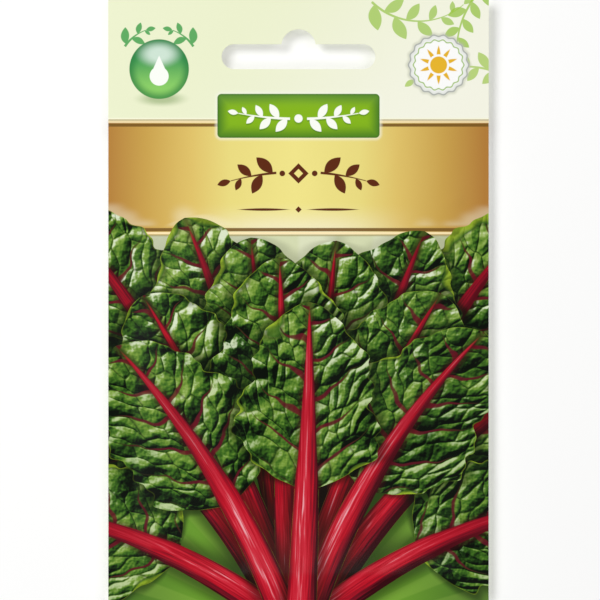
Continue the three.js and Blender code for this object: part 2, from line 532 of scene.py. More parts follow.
def slot_cutter():
    """The hang slot's punch: a bar with round ends, and a round peg seat on its upper side."""
    reach = SLOT_WIDTH / 2 - SLOT_HEIGHT / 2
    bpy.ops.mesh.primitive_cylinder_add(
        vertices=PUNCH_SIDES,
        radius=SLOT_HEIGHT / 2 * MM,
        depth=PUNCH_DEPTH * MM,
        location=(-reach * MM, SLOT_Y * MM, 0),
        rotation=(0, 0, math.pi / PUNCH_SIDES),
    )
    bar = bpy.context.object
    apply_place(bar)
    edit_vertices(bar, lambda co: co.x > -reach * MM)
    bpy.ops.transform.translate(value=(2 * reach * MM, 0, 0))
    bpy.ops.object.mode_set(mode="OBJECT")
    clear_selection()
    # Its ends stand out of the bar's, so that no two faces coincide
    bpy.ops.mesh.primitive_cylinder_add(
        vertices=PUNCH_SIDES,
        radius=SEAT_RADIUS * MM,
        depth=1.1 * PUNCH_DEPTH * MM,
        location=(0, SEAT_Y * MM, 0),
    )
    seat = bpy.context.object
    apply_place(seat)
    apply_modifier(bar, "BOOLEAN", operation="UNION", object=seat, solver="EXACT")
    bpy.data.objects.remove(seat)
    return bar


def raised_layer(name, outer_face, outwards, cell, thickness, left_out=None):
    """A fine grid raised to its outer face, with faces left out where asked, made solid and punched."""
    clear_selection()
    bpy.ops.mesh.primitive_grid_add(
        x_subdivisions=round(2 * SIDE / cell),
        y_subdivisions=round(2 * TOP / cell),
        size=1,
        location=(0, 0, 0),
    )
    layer = bpy.context.object
    layer.name = name
    bpy.ops.object.mode_set(mode="EDIT")
    bpy.ops.transform.resize(value=(2 * SIDE * MM, 2 * TOP * MM, 1))
    if outwards < 0:
        bpy.ops.mesh.flip_normals()
    bpy.ops.object.mode_set(mode="OBJECT")
    if left_out:
        edit_faces(layer, lambda centre: left_out(centre.x / MM, centre.y / MM))
        bpy.ops.mesh.delete(type="FACE")
        bpy.ops.object.mode_set(mode="OBJECT")
    for vertex in layer.data.vertices:
        vertex.co.z = outer_face(vertex.co.x / MM, vertex.co.y / MM) * MM
    apply_modifier(layer, "SOLIDIFY", thickness=thickness * MM, offset=-1.0, use_rim=True)
    cutter = slot_cutter()
    apply_modifier(layer, "BOOLEAN", operation="DIFFERENCE", object=cutter, solver="EXACT")
    bpy.data.objects.remove(cutter)
    return layer


def paper_sheet(name, outer_face, outwards, face):
    """A paper sheet, printed on its outer face, and plain on its inner face and its cut edges."""
    paper = settings().paper
    sheet = raised_layer(name, outer_face, outwards, paper.cell, PAPER)
    select_only(sheet)
    bpy.ops.object.shade_smooth_by_angle(angle=PAPER_CREASE)
    inner = plain_paper("Inner paper", paper.core, 1.5)
    edge = plain_paper("Cut edge", paper.core, 2.5)
    for material in (face, inner, edge):
        sheet.data.materials.append(material)
    for polygon in sheet.data.polygons:
        upwards = polygon.normal.z * outwards
        polygon.material_index = 0 if upwards > 0.5 else 1 if upwards < -0.5 else 2
    return sheet


def husk_pattern():
    """One seed cluster round the origin: a ball pressed flat, with a few shallow dents."""
    clear_selection()
    bpy.ops.mesh.primitive_ico_sphere_add(subdivisions=2, radius=SEED_RADIUS * MM, location=(0, 0, 0))
    pattern = bpy.context.object
    bpy.ops.object.mode_set(mode="EDIT")
    bpy.ops.transform.resize(value=(1, 1, SEED_FLATNESS))
    bpy.ops.object.mode_set(mode="OBJECT")
    for direction in DENTS:
        towards = Vector(direction).normalized()
        edit_vertices(pattern, lambda co: co.normalized().dot(towards) > DENT_REACH)
        bpy.ops.transform.resize(value=(DENT_SIZE,) * 3, center_override=(0, 0, 0))
        bpy.ops.object.mode_set(mode="OBJECT")
    return pattern


def seed_cluster(pattern, index, x, y, lift, turn, corners):
    """A copy of the pattern with its own lumps, set down on the back sheet."""
    cluster = pattern.copy()
    cluster.data = pattern.data.copy()
    bpy.context.collection.objects.link(cluster)
    own = Vector((index * 3.1, 0, 0))
    for vertex in cluster.data.vertices:
        direction = Vector((vertex.co.x, vertex.co.y, vertex.co.z / SEED_FLATNESS)).normalized()
        weights = [max(0.0, direction.dot(corner)) ** KNOB_SHARPNESS for corner in HUSK_CORNERS]
        size = sum(weight * corner for weight, corner in zip(weights, corners)) / sum(weights)
        bumps = sum(height * noise.noise(direction * close + own) for height, close in HUSK_BUMPS)
        vertex.co *= size * (HUSK_SIZE + bumps)
    select_only(cluster)
    cluster.rotation_euler.z = turn
    apply_place(cluster)
    lowest = min(vertex.co.z for vertex in cluster.data.vertices) / MM
    floor = back_outside(x, y) + PAPER + SEED_LIFT + lift
    cluster.location = (x * MM, y * MM, (floor - lowest) * MM)
    apply_place(cluster)
    return cluster


# ---------------------------------------------------------------- materials


class Nodes:
    """Fills a node tree. Each call adds one node and gives back the socket that it puts out."""

    def __init__(self, tree):
        self.tree = tree

    def add(self, kind, **values):
        made = self.tree.nodes.new(kind)
        for name, value in values.items():
            setattr(made, name, value)
        return made

    def feed(self, socket, value):
        """Links the value to the socket, or sets it there."""
        if isinstance(value, bpy.types.NodeSocket):
            self.tree.links.new(value, socket)
        elif socket.type == "RGBA" and len(value) == 3:
            socket.default_value = (*value, 1.0)
        else:
            socket.default_value = value

    def math(self, operation, *values):
        made = self.add("ShaderNodeMath", operation=operation)
        for socket, value in zip(made.inputs, values):
            self.feed(socket, value)
        return made.outputs[0]

    times = partialmethod(math, "MULTIPLY")
    plus = partialmethod(math, "ADD")
    minus = partialmethod(math, "SUBTRACT")
    over = partialmethod(math, "DIVIDE")
    # The first times the second, plus the third
    line = partialmethod(math, "MULTIPLY_ADD")
    power = partialmethod(math, "POWER")
    higher = partialmethod(math, "MAXIMUM")
    lower = partialmethod(math, "MINIMUM")
    above = partialmethod(math, "GREATER_THAN")
    below = partialmethod(math, "LESS_THAN")
    absolute = partialmethod(math, "ABSOLUTE")
    sign = partialmethod(math, "SIGN")
    fraction = partialmethod(math, "FRACT")
    sine = partialmethod(math, "SINE")
    cosine = partialmethod(math, "COSINE")
    # The angle of a place, from its y and its x
    angle = partialmethod(math, "ARCTAN2")

    def highest(self, first, *others):
        """The highest of the values."""
        for other in others:
            first = self.higher(first, other)
        return first

    def limit(self, value):
        """The value, kept between 0 and 1."""
        return self.higher(self.lower(value, 1.0), 0.0)

    def vector(self, operation, *values):
        made = self.add("ShaderNodeVectorMath", operation=operation)
        for socket, value in zip(made.inputs, values):
            self.feed(socket, value)
        return made.outputs["Value" if operation in ("DOT_PRODUCT", "LENGTH") else "Vector"]

    length = partialmethod(vector, "LENGTH")

    def offset(self, place, centre):
        """The place, measured from this centre."""
        return self.vector("SUBTRACT", place, (*centre, 0))

    def split(self, vector):
        """The vector's x and y."""
        return self.vector("DOT_PRODUCT", vector, (1, 0, 0)), self.vector("DOT_PRODUCT", vector, (0, 1, 0))

    def split3(self, vector):
        """The vector's x, y and z."""
        made = self.add("ShaderNodeSeparateXYZ")
        self.feed(made.inputs[0], vector)
        return tuple(made.outputs)

    def join(self, *values):
        made = self.add("ShaderNodeCombineXYZ")
        for socket, value in zip(made.inputs, values):
            self.feed(socket, value)
        return made.outputs[0]

    def rise(self, value, start, end, low=0.0, high=1.0):
        """low where value is start or less, high where it is end or more, and smooth between."""
        made = self.add("ShaderNodeMapRange", interpolation_type="SMOOTHSTEP", clamp=False)
        names = ("Value", "From Min", "From Max", "To Min", "To Max")
        for name, given in zip(names, (value, start, end, low, high)):
            self.feed(made.inputs[name], given)
        return made.outputs[0]

    def within(self, depth):
        """1 where the depth is above 0, 0 where it is below, with a soft edge."""
        return self.rise(depth, -0.1, 0.1)

    def disc(self, x, y, radius, soft=0.1):
        """1 within this radius, 0 beyond, with a soft edge."""
        return self.rise(self.length(self.join(x, y)), radius - soft, radius + soft, 1.0, 0.0)

    def stripe(self, value, middle, half, soft=0.1):
        """1 where the value is within half of the middle, 0 beyond, with a soft edge."""
        off = self.absolute(self.minus(value, middle))
        return self.rise(off, half - soft, half + soft, 1.0, 0.0)

    def mix(self, amount, under, upper):
        """The upper colour laid over the one under it by this amount."""
        made = self.add("ShaderNodeMix", data_type="RGBA")
        self.feed(made.inputs[0], amount)
        self.feed(made.inputs[6], under)
        self.feed(made.inputs[7], upper)
        return made.outputs[2]

    def choose(self, amount, first, second):
        """The first vector where the amount is 0, the second where it is 1."""
        made = self.add("ShaderNodeMix", data_type="VECTOR")
        self.feed(made.inputs[0], amount)
        self.feed(made.inputs[4], first)
        self.feed(made.inputs[5], second)
        return made.outputs[1]

    def ramp(self, value, *stops):
        """A colour by value, between these stops."""
        made = self.add("ShaderNodeValToRGB")
        elements = made.color_ramp.elements
        while len(elements) < len(stops):
            elements.new(0.5)
        for element, (position, colour) in zip(elements, stops):
            element.position = position
            element.color = (*colour, 1.0)
        self.feed(made.inputs[0], value)
        return made.outputs[0]

    def curve(self, value, *points):
        """A number by value, along a smooth line through these points."""
        made = self.add("ShaderNodeFloatCurve")
        line = made.mapping.curves[0]
        line.points[0].location = points[0]
        line.points[-1].location = points[-1]
        for x, y in points[1:-1]:
            line.points.new(x, y)
        made.mapping.update()
        self.feed(made.inputs["Value"], value)
        return made.outputs[0]

    def noise(self, place, scale, detail=2.0, roughness=0.5):
        made = self.add("ShaderNodeTexNoise")
        self.feed(made.inputs["Vector"], place)
        self.feed(made.inputs["Scale"], scale)
        self.feed(made.inputs["Detail"], detail)
        self.feed(made.inputs["Roughness"], roughness)
        return made.outputs[0]

    def cells(self, place, scale, feature="DISTANCE_TO_EDGE", dimensions="2D"):
        """How far a place is from the edge of its cell, or from the cell's middle for F1."""
        made = self.add("ShaderNodeTexVoronoi", feature=feature, voronoi_dimensions=dimensions)
        self.feed(made.inputs["Vector"], place)
        self.feed(made.inputs["Scale"], scale)
        return made.outputs["Distance"]

    def bump(self, height, strength, distance):
        """The surface's direction, with this height on it."""
        made = self.add("ShaderNodeBump")
        made.inputs["Strength"].default_value = strength
        made.inputs["Distance"].default_value = distance
        self.feed(made.inputs["Height"], height)
        return made.outputs[0]

    def millimetres(self):
        """The place on the packet, in millimetres."""
        coordinates = self.add("ShaderNodeTexCoord")
        made = self.add("ShaderNodeMapping")
        self.feed(made.inputs["Vector"], coordinates.outputs["Object"])
        made.inputs["Scale"].default_value = (1 / MM,) * 3
        return made.outputs[0]

    def group(self, group, **values):
        """Places a node group and gives back its outputs, or its only one."""
        made = self.add("ShaderNodeGroup", node_tree=group)
        for name, value in values.items():
            self.feed(made.inputs[name.replace("_", " ").capitalize()], value)
        return made.outputs[0] if len(made.outputs) == 1 else tuple(made.outputs)


def new_group(name, results, **sockets):
    """A shader node group, with its results by socket type, and its inputs by socket type and default."""
    tree = bpy.data.node_groups.new(name, "ShaderNodeTree")
    for label, (kind, default) in sockets.items():
        socket = tree.interface.new_socket(
            label.replace("_", " ").capitalize(), in_out="INPUT", socket_type="NodeSocket" + kind
        )
        if default is not None:
            socket.default_value = default
    for label, kind in results.items():
        tree.interface.new_socket(label, in_out="OUTPUT", socket_type="NodeSocket" + kind)
    nodes = Nodes(tree)
    given = nodes.add("NodeGroupInput")
    end = nodes.add("NodeGroupOutput")
    return tree, nodes, given.outputs, end.inputs


def shared(name, make):
    """The node group of this name, made if it isn't there yet."""
    return bpy.data.node_groups.get(name) or make()


def paper_grain_group():
    """The paper's fine surface, as a height."""
    tree, n, given, end = new_group(
        "Paper grain", {"Height": "Float"}, place=("Vector", None), strength=("Float", 1.0)
    )
    fibres = n.noise(given["Place"], 3.2, detail=4.0, roughness=0.62)
    sweep = n.noise(given["Place"], 0.18, detail=2.0)
    n.feed(end["Height"], n.times(n.line(sweep, 0.6, fibres), given["Strength"]))
    return tree


def rounded_panel(n, place, centre, size, corner):
    """How deep a place is inside a panel with round corners, in millimetres: negative outside."""
    offset = n.vector("ABSOLUTE", n.offset(place, centre))
    flat = n.vector("MULTIPLY", offset, (1, 1, 0))
    reach = n.vector("SUBTRACT", flat, (size[0] / 2 - corner, size[1] / 2 - corner, 0))
    outside = n.length(n.vector("MAXIMUM", reach, (0, 0, 0)))
    x, y = n.split(reach)
    inside = n.lower(n.higher(x, y), 0)
    return n.minus(corner, n.plus(outside, inside))


def leaf_in_front_group():
    """Lays one printed leaf with its stalk over those behind it.

    A printed place keeps only what is needed to draw the foremost leaf there. Near is how far along the blade
    it is, how far across, and the leaf's own number. Shape is the half width of the blade and of the rib
    there, and the share of the blade's length. Lit is the light's direction in the leaf's own axes, and how
    far back the leaf is. Open is the light that reaches what shows there, past the leaves in front.
    """
    carried = {"Near": "Vector", "Shape": "Vector", "Lit": "Vector", "Open": "Float"}
    tree, n, given, end = new_group(
        "Leaf in front",
        carried,
        place=("Vector", None),
        near=("Vector", None),
        shape=("Vector", None),
        lit=("Vector", None),
        open=("Float", 1.0),
        joint=("Vector", None),
        heading=("Vector", (0.0, 1.0, 0.0)),
        aside=("Vector", (1.0, 0.0, 0.0)),
        light=("Vector", None),
        length=("Float", 50.0),
        half_width=("Float", 16.0),
        bend=("Float", 0.0),
        half_stalk=("Float", 3.0),
        number=("Float", 1.0),
    )
    from_joint = n.vector("SUBTRACT", given["Place"], given["Joint"])
    along = n.vector("DOT_PRODUCT", from_joint, given["Heading"])
    progress = n.over(along, given["Length"])
    drift = n.times(given["Bend"], n.times(progress, progress))
    across = n.minus(n.vector("DOT_PRODUCT", from_joint, given["Aside"]), drift)
    swell = n.curve(n.limit(progress), *BLADE_OUTLINE)
    turns = n.line(n.sign(across), 0.8, n.line(progress, 13.0, given["Number"]))
    ruffle = n.plus(n.sine(turns), n.times(n.sine(n.times(turns, 2.7)), 0.6))
    ruffle = n.line(n.sine(n.times(turns, 6.1)), 0.3, ruffle)
    edge = n.times(n.line(ruffle, RUFFLE, given["Half width"]), swell)
    taper = n.curve(n.limit(n.line(progress, 0.5, 0.5)), *STALK_TAPER)
    girth = n.times(given["Half stalk"], taper)
    reach = n.higher(edge, girth)
    beside = n.higher(n.minus(n.absolute(across), reach), 0.0)
    beyond = n.higher(n.minus(along, given["Length"]), 0.0)
    outside = n.length(n.join(beside, beyond))
    cover = n.below(outside, 0.001)
    left = n.times(given["Open"], n.rise(outside, 0.0, SHADE_REACH, 0.3, 1.0))
    n.feed(end["Open"], n.higher(cover, left))
    n.feed(end["Near"], n.choose(cover, given["Near"], n.join(along, across, given["Number"])))
    n.feed(end["Shape"], n.choose(cover, given["Shape"], n.join(edge, girth, progress)))
    n.feed(end["Lit"], n.choose(cover, given["Lit"], given["Light"]))
    return tree


def leaf_relief_group():
    """The height of a blade, in millimetres: sunk side veins, pillows between them, waves at its edge."""
    tree, n, given, end = new_group(
        "Leaf relief",
        {"Height": "Float", "To vein": "Float", "To net": "Float"},
        along=("Float", 0.0),
        across=("Float", 0.0),
        share=("Float", 0.0),
        number=("Float", 0.0),
    )
    place = n.join(given["Along"], given["Across"], n.times(given["Number"], 37.0))
    away = n.absolute(given["Across"])
    broad = n.noise(place, 0.045, 1.0)
    lean = n.times(away, n.line(away, 0.02, 0.42))
    winding = n.line(n.noise(place, 0.13, 1.0), 6.0, n.minus(given["Along"], lean))
    half = n.line(n.sign(given["Across"]), 0.25, given["Number"])
    count = n.line(winding, 1 / VEIN_PITCH, half)
    strip = n.fraction(count)
    nearest = n.lower(strip, n.minus(1.0, strip))
    n.feed(end["To vein"], n.times(nearest, VEIN_PITCH))
    dome = n.sine(n.times(nearest, math.pi))

    wandering = n.line(broad, 2.0, n.times(away, 0.2))
    patch = n.join(n.times(count, 1.9), wandering, given["Number"])
    to_net = n.cells(patch, 1.0)
    n.feed(end["To net"], to_net)
    pillow = n.power(to_net, 0.7)
    wave = n.line(given["Along"], 0.72, n.line(broad, 9.0, half))
    ruffle = n.times(n.sine(wave), n.rise(given["Share"], 0.45, 1.0, 0.0, 1.5))
    crinkle = n.noise(place, 0.42, 2.0)
    height = n.line(broad, 9.0, n.line(dome, 1.6, ruffle))
    height = n.line(pillow, 2.6, height)
    n.feed(end["Height"], n.line(crinkle, 2.1, height))
    return tree


def leaf_face_group():
    """The printed colour of the foremost leaf: glossy quilted blade, red rib and veins, streaked stalk."""
    tree, n, given, end = new_group(
        "Leaf face",
        {"Color": "Color"},
        near=("Vector", None),
        shape=("Vector", None),
        lit=("Vector", None),
        open=("Float", 1.0),
        daylight=("Float", 0.0),
    )
    inks = settings().print
    along, across, number = n.split3(given["Near"])
    edge, girth, progress = n.split3(given["Shape"])
    lit_along, lit_across, depth = n.split3(given["Lit"])
    away = n.absolute(across)
    share = n.over(away, n.higher(edge, 1.0))
    relief = leaf_relief_group()
    height, to_vein, to_net = n.group(relief, along=along, across=across, share=share, number=number)
    # The same a step further on towards the light, which gives the slope
    along_on = n.line(lit_along, RELIEF_STEP, along)
    across_on = n.line(lit_across, RELIEF_STEP, across)
    height_on, _, _ = n.group(relief, along=along_on, across=across_on, share=share, number=number)
    slope = n.times(n.minus(height, height_on), n.rise(away, 0.2, 1.3, 0.0, 1 / RELIEF_STEP))

    # Blade, from its shade to its gloss
    inside = n.minus(edge, away)
    tone = n.minus(n.line(slope, 0.36, 0.45), depth)
    hue = n.noise(n.join(along, across, n.times(number, 11.0)), 0.08, 1.0)
    tone = n.plus(tone, n.rise(hue, 0.3, 0.7, -0.14, 0.16))
    own = n.sine(n.times(number, 2.3))
    tone = n.plus(n.line(own, 0.05, tone), given["Daylight"])
    green = n.ramp(
        tone,
        (0.0, inks.leaf_deep),
        (0.22, inks.leaf_dark),
        (0.44, inks.leaf),
        (0.7, inks.leaf_light),
        (1.0, inks.leaf_pale),
    )
    # The gloss breaks up into short streaks on the shoulders that face the light
    sheen = n.noise(n.join(n.times(along, 0.6), across, number), 0.35, 2.0)
    lustre = n.rise(n.line(sheen, 1.8, slope), 1.55, 2.5, 0.0, 0.85)
    lustre = n.times(lustre, n.rise(given["Daylight"], -0.12, 0.06, 0.35, 1.0))
    green = n.mix(n.times(lustre, n.rise(given["Open"], 0.3, 1.0)), green, inks.gloss)
    lip = n.times(n.rise(inside, 0.0, 0.45, 1.0, 0.0), n.rise(hue, 0.4, 0.62, 0.1, 0.8))
    green = n.mix(lip, green, inks.rim)

    # Net of fine veins, then the side veins, sunk and dark, red near the rib
    net = n.times(n.rise(to_net, 0.0, 0.09, 0.55, 0.0), n.rise(share, 0.6, 1.0, 1.0, 0.2))
    green = n.mix(net, green, inks.leaf_deep)
    width = n.rise(share, 0.0, 0.9, 0.6, 0.1)
    vein = n.rise(n.minus(to_vein, width), -0.12, 0.22, 1.0, 0.0)
    vein_ink = n.mix(n.rise(share, 0.0, 0.3), inks.stalk_dark, inks.vein)
    vein_ink = n.mix(n.rise(share, 0.4, 1.0), vein_ink, inks.leaf_dark)
    green = n.mix(n.times(vein, n.rise(share, 0.5, 1.0, 0.9, 0.4)), green, vein_ink)
    blush = n.rise(n.minus(away, girth), 0.0, 1.6, 0.6, 0.0)
    green = n.mix(blush, green, inks.stalk_deep)

    # In places the edge rolls over and shows its paler underside
    roll = n.minus(n.times(n.minus(hue, 0.55), 22.0), inside)
    crown = n.over(inside, n.higher(n.plus(roll, inside), 0.5))
    under_side = n.mix(n.rise(crown, 0.15, 1.0), inks.rim, inks.leaf)
    under_side = n.mix(n.rise(slope, -1.2, 1.2, 0.55, 0.0), under_side, inks.leaf_dark)
    green = n.mix(n.rise(roll, -1.4, 0.0, 0.0, 0.6), green, inks.leaf_deep)
    green = n.mix(n.rise(roll, -0.1, 0.2, 0.0, 0.9), green, under_side)

    # Rib and stalk: ribbed lengthwise, with broken gloss
    off_middle = n.over(across, girth)
    lines = n.noise(n.join(n.times(along, 0.03), across, number), 2.1, 3.0, 0.6)
    gloss = n.noise(n.join(n.times(along, 0.1), n.times(across, 2.2), number), 0.8, 3.0)
    towards = n.line(lit_across, -0.5, off_middle)
    turned = n.times(towards, towards)
    red_tone = n.line(lines, 1.1, n.line(turned, -0.42, 0.12))
    red_tone = n.minus(red_tone, n.times(depth, 2.3))
    shine = n.times(n.rise(gloss, 0.5, 0.72), n.rise(n.absolute(towards), 0.1, 0.6, 0.5, 0.0))
    red_tone = n.plus(red_tone, n.times(shine, n.rise(progress, -0.1, 0.5, 0.7, 0.0)))
    red = n.ramp(
        red_tone,
        (0.0, inks.stalk_deep),
        (0.28, inks.stalk_dark),
        (0.52, inks.stalk),
        (0.74, inks.stalk_light),
        (1.0, inks.stalk_gloss),
    )
    side_shade = n.rise(n.absolute(off_middle), 0.72, 1.0, 0.0, 0.6)
    red = n.mix(side_shade, red, inks.stalk_deep)
    # Printed shade: the ribs are darker within the blade than on the stalk, by a different amount on each leaf
    printed_rib_shade = n.line(n.sine(n.times(number, 4.1)), 0.25, 0.27)
    red = n.mix(n.times(n.rise(progress, -0.1, 0.5), printed_rib_shade), red, inks.stalk_dark)
    rib = n.times(n.within(n.minus(girth, away)), n.rise(progress, 0.88, 0.98, 1.0, 0.0))
    shade = n.rise(given["Open"], 0.0, 1.0, 0.9, 0.0)
    n.feed(end["Color"], n.mix(shade, n.mix(rib, green, red), inks.leaf_deep))
    return tree


def leaf_of(angle, foot, stalk, length, half_width, bend, depth, number, half_stalk=4.2):
    """A leaf whose stalk starts at the foot, in the terms of the group that lays it."""
    heading = Vector((math.sin(angle), math.cos(angle), 0))
    aside = Vector((heading.y, -heading.x, 0))
    drift = bend * (stalk / length) ** 2
    return {
        "joint": Vector((*foot, 0)) + heading * stalk - aside * drift,
        "heading": heading,
        "aside": aside,
        "light": (PRINT_LIGHT.dot(heading), PRINT_LIGHT.dot(aside), depth),
        "length": length,
        "half_width": half_width,
        "bend": bend,
        "half_stalk": half_stalk,
        "number": number,
    }


def fan():
    """The leaves of the front's bunch, from the back to the front."""
    rows = (
        # leaves, widest heading, stalk, its gain at the sides, blade length, half width, outward bend, depth
        (6, 0.52, 50.0, 25.0, 55.0, 19.0, 5.0, 0.12),
        (5, 0.8, 47.0, 9.0, 51.0, 18.5, 9.0, 0.07),
        (2, 1.12, 40.0, 0.0, 50.0, 18.0, 9.0, 0.04),
        (3, 0.5, 38.0, 3.0, 50.0, 18.5, 6.0, 0.0),
    )
    rule = random.Random(LEAF_DRAW)
    number = 1.0
    for count, widest, stalk, gain, length, half_width, bend, depth in rows:
        sides = [2 * i / (count - 1) - 1 for i in range(count)]
        for side in sorted(sides, key=lambda side: -abs(side)):
            number += 1.37
            yield leaf_of(
                widest * side + rule.uniform(-0.035, 0.035),
                (rule.uniform(-2, 2), BUNCH_Y),
                stalk + gain * side * side + rule.uniform(-2, 2),
                length + rule.uniform(-2.5, 2.5),
                half_width + rule.uniform(-1, 1),
                bend * side + rule.uniform(-1.5, 1.5),
                depth,
                number,
            )


def printed_leaves(n, place, leaves, daylight=0.0):
    """The leaves' colour, their mask, and the light that reaches what is behind them."""
    carried = {"near": (0, 0, 0), "shape": (0, 0, 0), "lit": (0, 0, 0), "open": 1.0}
    layer = shared("Leaf in front", leaf_in_front_group)
    for leaf in leaves:
        carried = dict(zip(carried, n.group(layer, place=place, **carried, **leaf)))
    colour = n.group(shared("Leaf face", leaf_face_group), **carried, daylight=daylight)
    mask = n.rise(n.split3(carried["near"])[2], 0.4, 0.6)
    return colour, mask, carried["open"]


def sprig_group():
    """A printed twig along an arc, with small leaves on both sides and one at its end, as along mask."""
    tree, n, given, end = new_group(
        "Printed sprig",
        {"Mask": "Float"},
        place=("Vector", None),
        centre=("Vector", None),
        radius=("Float", 30.0),
        start=("Float", 0.0),
        sweep=("Float", 1.0),
        leaf=("Float", 5.0),
    )
    x, y = n.split(n.vector("SUBTRACT", given["Place"], given["Centre"]))
    from_stem = n.minus(n.length(n.join(x, y)), given["Radius"])
    side = n.sign(from_stem)
    height = n.absolute(from_stem)
    turned = n.times(n.minus(n.angle(y, x), given["Start"]), n.sign(given["Sweep"]))
    arc = n.times(turned, given["Radius"])
    whole = n.times(n.absolute(given["Sweep"]), given["Radius"])

    # The leaf that starts last before this place, on this side
    pitch = n.times(given["Leaf"], 0.95)
    count = n.line(side, 0.25, n.minus(n.over(arc, pitch), 0.25))
    # Each leaf has room behind its root, since it is wide there
    since = n.fraction(count)
    root = n.over(n.minus(arc, n.times(since, pitch)), whole)
    ahead = n.times(n.minus(since, 0.18), pitch)
    there = n.times(n.above(root, -0.001), n.below(root, 0.9))
    size = n.times(given["Leaf"], n.rise(root, 0.1, 1.1, 1.0, 0.35))
    lean = math.radians(52)
    along = n.plus(n.times(ahead, math.cos(lean)), n.times(height, math.sin(lean)))
    across = n.minus(n.times(height, math.cos(lean)), n.times(ahead, math.sin(lean)))
    leaf = n.times(leaflet(n, along, across, size), there)

    last = leaflet(n, n.minus(arc, whole), height, n.times(given["Leaf"], 0.62))
    progress = n.over(arc, whole)
    stem = n.rise(n.minus(n.rise(progress, 0.0, 1.0, 0.34, 0.12), height), -0.08, 0.1)
    stem = n.times(stem, n.times(n.rise(progress, 0.0, 0.01), n.rise(progress, 0.99, 1.0, 1.0, 0.0)))
    n.feed(end["Mask"], n.highest(leaf, last, stem))
    return tree


def sprig(n, place, centre, radius, start, sweep, leaf):
    """A twig round this centre, from its start angle through its sweep, as a mask."""
    group = shared("Printed sprig", sprig_group)
    shape = {"centre": (*centre, 0), "radius": radius, "start": start, "sweep": sweep, "leaf": leaf}
    return n.group(group, place=place, **shape)


def leaflet(n, along, across, length):
    """A pointed oval from 0 to its length along, as a mask."""
    share = n.line(n.over(along, length), 2.0, -1.0)
    half = n.times(n.minus(1.0, n.times(share, share)), n.times(length, 0.24))
    return n.rise(n.minus(half, n.absolute(across)), -0.08, 0.1)


def garland(n, x, y, level, rise, gap, reach, leaf):
    """Two sprigs that run from a gap in the middle out to their reach in a flat arch, as a mask.

    The arch's middle is at this level, and its ends are lower by the rise, or higher if that is negative.
    """
    radius = (reach**2 + rise**2) / (2 * abs(rise))
    upright = 1 if rise > 0 else -1
    near, far = (math.asin(away / radius) for away in (gap, reach))
    place = n.join(n.absolute(x), y)
    start = upright * (math.pi / 2 - near)
    return sprig(n, place, (0, level - upright * radius), radius, start, upright * (near - far), leaf)


def label_group():
    """A green label with round corners, soft dark edges and a white garland, over a colour."""
    tree, n, given, end = new_group(
        "Green label",
        {"Color": "Color"},
        place=("Vector", None),
        centre=("Vector", None),
        under=("Color", None),
    )
    inks = settings().print
    place = n.vector("SUBTRACT", given["Place"], given["Centre"])
    x, y = n.split(place)
    deep = rounded_panel(n, place, (0, 0), LABEL_SIZE, 1.1)
    glow = n.times(n.rise(deep, -1.1, 0.0), 0.5)
    colour = n.mix(glow, given["Under"], ink("#F7FAEC"))
    slanted = n.line(n.absolute(x), -0.03, deep)
    field = n.mix(n.rise(slanted, -1.0, 3.2), inks.label_edge, inks.label)
    field = n.mix(n.rise(y, -6, -1, 0.3, 0.0), field, inks.label_edge)
    field = n.mix(n.rise(y, 1.5, 5.5, 0.0, 0.3), field, ink("#6C9A48"))
    field = n.mix(n.rise(deep, 0.1, 0.6, 0.45, 0.0), field, ink("#35661A"))

    # A white garland with a soft shade below it
    for lift, soft, strength, code in ((-0.4, 0.5, 0.5, "#3F6E1C"), (0.0, 0.1, 1.0, "#FBFDF4")):
        level = n.minus(y, lift)
        leaves = garland(n, x, level, -0.8, -1.5, 2.2, 16.0, 4.6)
        mark = n.higher(leaves, n.disc(x, n.plus(level, 0.7), 1.1, soft))
        field = n.mix(n.times(mark, strength), field, ink(code))
    n.feed(end["Color"], n.mix(n.rise(deep, -0.1, 0.12), colour, field))
    return tree


def gold_band(n, x, y, colour, top, bottom):
    """The gold band with its fine rules above and below."""
    inks = settings().print
    away = n.over(n.absolute(n.plus(x, 1.0)), SIDE)
    gold = n.ramp(
        away,
        (0.0, inks.gold),
        (0.34, ink("#EADB80")),
        (0.54, ink("#E0C269")),
        (0.78, ink("#CAA24E")),
        (1.0, inks.gold_edge),
    )
    glow = n.times(n.rise(y, bottom, bottom + 9, 0.75, 0.0), n.rise(away, 0.1, 0.7, 1.0, 0.0))
    gold = n.mix(glow, gold, ink("#F6F0D2"))
    middle = (top + bottom) / 2
    colour = n.mix(n.stripe(y, middle, top - middle, 0.05), colour, gold)
    rules = (
        # place, half width, ink, strength
        (top + 0.55, 0.22, ink("#FBFADF"), 0.8),
        (top + 0.2, 0.2, ink("#B9A878"), 0.8),
        (top - 0.3, 0.28, ink("#F7E4B4"), 0.9),
        (top - 1.15, 0.42, inks.rule, 0.95),
        (bottom + 1.35, 0.45, inks.rule, 0.95),
        (bottom + 0.45, 0.3, ink("#FFEAB8"), 0.95),
        (bottom - 0.15, 0.24, ink("#A89860"), 0.7),
    )
    for level, half, tint, strength in rules:
        colour = n.mix(n.times(n.stripe(y, level, half, 0.12), strength), colour, tint)
    return colour


